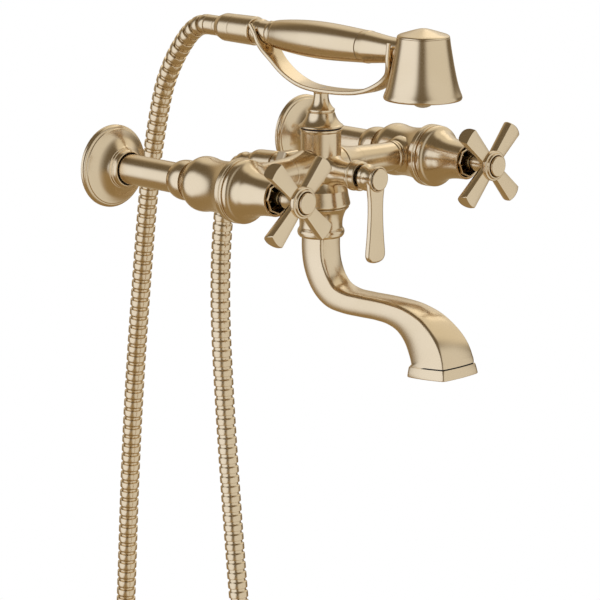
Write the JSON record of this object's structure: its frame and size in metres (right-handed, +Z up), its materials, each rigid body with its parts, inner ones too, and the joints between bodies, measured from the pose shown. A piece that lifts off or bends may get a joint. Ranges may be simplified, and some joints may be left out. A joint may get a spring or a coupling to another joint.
{
  "type": "wall mounted bath faucet",
  "caption": "Wall mounted bath faucet with cross handle valves, a diverter, a swivelling spout and a telephone style hand shower on a cradle with its metal hose.",
  "frame": {"origin": "on the wall plane, midway between the two supply arms at the height of the valve axes", "axes": "+X to the right of a person facing the wall, -Y out of the wall towards that person, +Z up"},
  "size_m": [0.2666, 0.3881, 0.7432],
  "materials": {
    "gold": "brushed, satin champagne gold",
    "brass": "machined, uncoated",
    "rubber": "matt black",
    "plastic": "fine matt moulded",
    "steel": "machined"
  },
  "bodies": {
    "fixed_body": {"hot_wall_flange": "gold", "hot_flange_seal": "rubber", "hot_supply_arm": "gold", "hot_union_nut": "gold", "hot_union_washer": "rubber", "hot_valve_body": "gold", "hot_bonnet_gasket": "rubber", "hot_bonnet": "gold", "hot_cartridge": "brass", "hot_gland_nut": "gold", "cold_wall_flange": "gold", "cold_flange_seal": "rubber", "cold_supply_arm": "gold", "cold_union_nut": "gold", "cold_union_washer": "rubber", "cold_valve_body": "gold", "cold_bonnet_gasket": "rubber", "cold_bonnet": "gold", "cold_cartridge": "brass", "cold_gland_nut": "gold", "centre_body": "gold", "hot_bridge_tube": "gold", "cold_bridge_tube": "gold", "cradle_post": "gold", "cradle_screw": "steel", "spout_collar": "gold", "cradle": "gold", "diverter_collar": "gold", "diverter_cartridge": "brass", "hose_outlet": "gold", "outlet_washer": "rubber", "outlet_nut": "gold", "outlet_tail": "gold", "hose": "gold"},
    "hot_handle": {"hot_stem": "brass", "hot_cross_handle": "gold", "hot_handle_screw": "steel", "hot_index_cap": "gold"},
    "cold_handle": {"cold_stem": "brass", "cold_cross_handle": "gold", "cold_handle_screw": "steel", "cold_index_cap": "gold"},
    "diverter": {"diverter_stem": "brass", "diverter_lever": "gold", "lever_screw": "steel", "lever_cap": "gold"},
    "spout": {"spout": "gold", "flow_straightener": "plastic", "spout_o_ring": "rubber"},
    "handset": {"handset_ferrule": "gold", "handset_nut": "gold", "handset_washer": "rubber", "handset_tail": "gold", "handset_grip": "gold", "handset_neck": "gold", "head_bell": "gold", "head_cap": "gold", "spray_face": "plastic"}
  },
  "joints": [
    {"name": "hot_handle_turn", "type": "hinge", "parent": "fixed_body", "child": "hot_handle", "pos_m": [-0.1016, -0.19, 0], "axis": [0, -1, 0], "range_deg": [0, 90]},
    {"name": "cold_handle_turn", "type": "hinge", "parent": "fixed_body", "child": "cold_handle", "pos_m": [0.1016, -0.19, 0], "axis": [0, -1, 0], "range_deg": [-90, 0]},
    {"name": "diverter_turn", "type": "hinge", "parent": "fixed_body", "child": "diverter", "pos_m": [0, -0.17, 0], "axis": [0, -1, 0], "range_deg": [0, 90]},
    {"name": "spout_swivel", "type": "hinge", "parent": "fixed_body", "child": "spout", "pos_m": [0, -0.1213, -0.05], "axis": [0, 0, 1], "range_deg": [-80, 80]},
    {"name": "handset_lift", "type": "slide", "parent": "fixed_body", "child": "handset", "axis": [0, -0.3057, 0.9521], "range_m": [0, 0.07], "deforming": ["hose"]}
  ]
}
